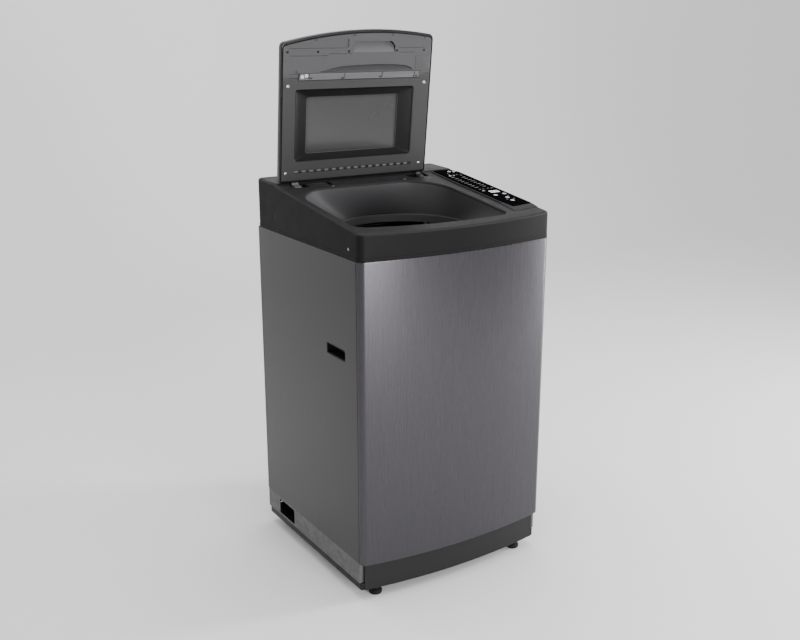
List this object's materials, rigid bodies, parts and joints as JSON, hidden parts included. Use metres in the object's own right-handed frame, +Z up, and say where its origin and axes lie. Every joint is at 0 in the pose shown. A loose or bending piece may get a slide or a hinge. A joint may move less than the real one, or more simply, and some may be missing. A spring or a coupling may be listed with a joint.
{
  "type": "top load washing machine",
  "caption": "Free-standing top loading washing machine with a bowed front, sloping deck, hinged window lid, spinning basket, pulsator and side control panel.",
  "frame": {"origin": "centre of the bounding box's footprint, on the floor", "axes": "+Z up, +X to the machine's right as seen from the front, front towards -Y"},
  "size_m": [0.56, 0.5774, 1.3842],
  "materials": {
    "cabinet_paint": "satin grey-violet metallic coat",
    "zinc_steel": "zinc plated sheet, satin",
    "black_plastic": "fine grained moulded plastic",
    "foot_rubber": "moulded rubber",
    "cover_plastic": "dark grey satin moulded plastic",
    "lid_plastic": "dark grey moulded plastic",
    "window_glass": "smoked toughened glass",
    "panel_gloss": "black gloss overlay",
    "display_glass": "clear display window",
    "button_plastic": "light satin buttons",
    "light_plastic": "moulded polypropylene",
    "stainless_steel": "brushed stainless",
    "cast_aluminium": "die cast, matt"
  },
  "bodies": {
    "cabinet": {"left_side_panel": "cabinet_paint", "right_side_panel": "cabinet_paint", "front_panel": "cabinet_paint", "rear_panel": "zinc_steel", "rear_service_cover": "zinc_steel", "front_brace": "zinc_steel", "rear_brace": "zinc_steel", "left_base_skirt": "zinc_steel", "right_base_skirt": "zinc_steel", "tub_carrier": "zinc_steel", "suspension_rod_front_left": "zinc_steel", "suspension_rod_front_right": "zinc_steel", "suspension_rod_rear_left": "zinc_steel", "suspension_rod_rear_right": "zinc_steel", "left_hand_grip": "black_plastic", "right_hand_grip": "black_plastic", "base_frame": "black_plastic", "kick_plate": "black_plastic", "drain_outlet": "black_plastic", "hinge_bracket_left": "black_plastic", "hinge_bracket_right": "black_plastic", "lid_damper": "black_plastic", "hinge_pin_right": "stainless_steel", "cord_gland": "black_plastic", "tub_ring": "black_plastic", "top_cover": "cover_plastic", "control_housing": "cover_plastic", "control_overlay": "panel_gloss", "display_window": "display_glass", "outer_tub": "light_plastic", "inlet_valve": "light_plastic", "drain_pump": "light_plastic", "gearbox_housing": "cast_aluminium", "motor_housing": "cast_aluminium", "drive_belt": "foot_rubber"},
    "lid": {"lid_outer_shell": "cover_plastic", "lid_window_glass": "window_glass", "lid_inner_frame": "lid_plastic", "lid_finger_grip": "black_plastic", "hinge_arm_left": "black_plastic", "hinge_arm_right": "black_plastic"},
    "basket": {"wash_basket": "stainless_steel", "basket_base": "light_plastic", "balance_ring": "light_plastic", "basket_hub": "stainless_steel", "lint_filter": "light_plastic"},
    "agitator": {"pulsator": "light_plastic", "pulsator_shaft": "stainless_steel", "drive_pulley": "cast_aluminium"},
    "motor": {"motor_rotor": "stainless_steel"},
    "power_key": {"power_button": "button_plastic"},
    "start_key": {"start_button": "button_plastic"},
    "programme_key": {"programme_button": "button_plastic"},
    "temperature_key": {"temperature_button": "button_plastic"},
    "spin_key": {"spin_button": "button_plastic"},
    "delay_key": {"delay_button": "button_plastic"},
    "foot_front_left_body": {"foot_front_left": "foot_rubber"},
    "foot_front_right_body": {"foot_front_right": "foot_rubber"},
    "foot_rear_left_body": {"foot_rear_left": "foot_rubber"},
    "foot_rear_right_body": {"foot_rear_right": "foot_rubber"}
  },
  "joints": [
    {"name": "lid_hinge", "type": "hinge", "parent": "cabinet", "child": "lid", "pos_m": [0, 0.14775, 0.9808], "axis": [1, 0, 0], "range_deg": [0, 91.15]},
    {"name": "basket_spin", "type": "hinge", "parent": "cabinet", "child": "basket", "pos_m": [0, 0.00175, 0.42], "axis": [0, 0, 1], "continuous": true},
    {"name": "agitator_spin", "type": "hinge", "parent": "cabinet", "child": "agitator", "pos_m": [0, 0.00175, 0.42], "axis": [0, 0, 1], "continuous": true},
    {"name": "motor_spin", "type": "hinge", "parent": "cabinet", "child": "motor", "pos_m": [0.15, 0.00175, 0.23], "axis": [0, 0, 1], "continuous": true},
    {"name": "power_button_press", "type": "slide", "parent": "cabinet", "child": "power_key", "axis": [0, 0.1279, -0.9918], "range_m": [0, 0.0008], "stiffness_N_per_m": 400},
    {"name": "start_button_press", "type": "slide", "parent": "cabinet", "child": "start_key", "axis": [0, 0.1279, -0.9918], "range_m": [0, 0.0008], "stiffness_N_per_m": 400},
    {"name": "programme_button_press", "type": "slide", "parent": "cabinet", "child": "programme_key", "axis": [0, 0.1279, -0.9918], "range_m": [0, 0.0008], "stiffness_N_per_m": 400},
    {"name": "temperature_button_press", "type": "slide", "parent": "cabinet", "child": "temperature_key", "axis": [0, 0.1279, -0.9918], "range_m": [0, 0.0008], "stiffness_N_per_m": 400},
    {"name": "spin_button_press", "type": "slide", "parent": "cabinet", "child": "spin_key", "axis": [0, 0.1279, -0.9918], "range_m": [0, 0.0008], "stiffness_N_per_m": 400},
    {"name": "delay_button_press", "type": "slide", "parent": "cabinet", "child": "delay_key", "axis": [0, 0.1279, -0.9918], "range_m": [0, 0.0008], "stiffness_N_per_m": 400},
    {"name": "foot_front_left_turn", "type": "hinge", "parent": "cabinet", "child": "foot_front_left_body", "pos_m": [-0.222, -0.22575, 0.02], "axis": [0, 0, 1], "continuous": true},
    {"name": "foot_front_right_turn", "type": "hinge", "parent": "cabinet", "child": "foot_front_right_body", "pos_m": [0.222, -0.22575, 0.02], "axis": [0, 0, 1], "continuous": true},
    {"name": "foot_rear_left_turn", "type": "hinge", "parent": "cabinet", "child": "foot_rear_left_body", "pos_m": [-0.222, 0.24975, 0.02], "axis": [0, 0, 1], "continuous": true},
    {"name": "foot_rear_right_turn", "type": "hinge", "parent": "cabinet", "child": "foot_rear_right_body", "pos_m": [0.222, 0.24975, 0.02], "axis": [0, 0, 1], "continuous": true}
  ],
  "couplings": [
    {"joint": "motor_spin", "follows": "agitator_spin", "ratio": 3.4091}
  ]
}
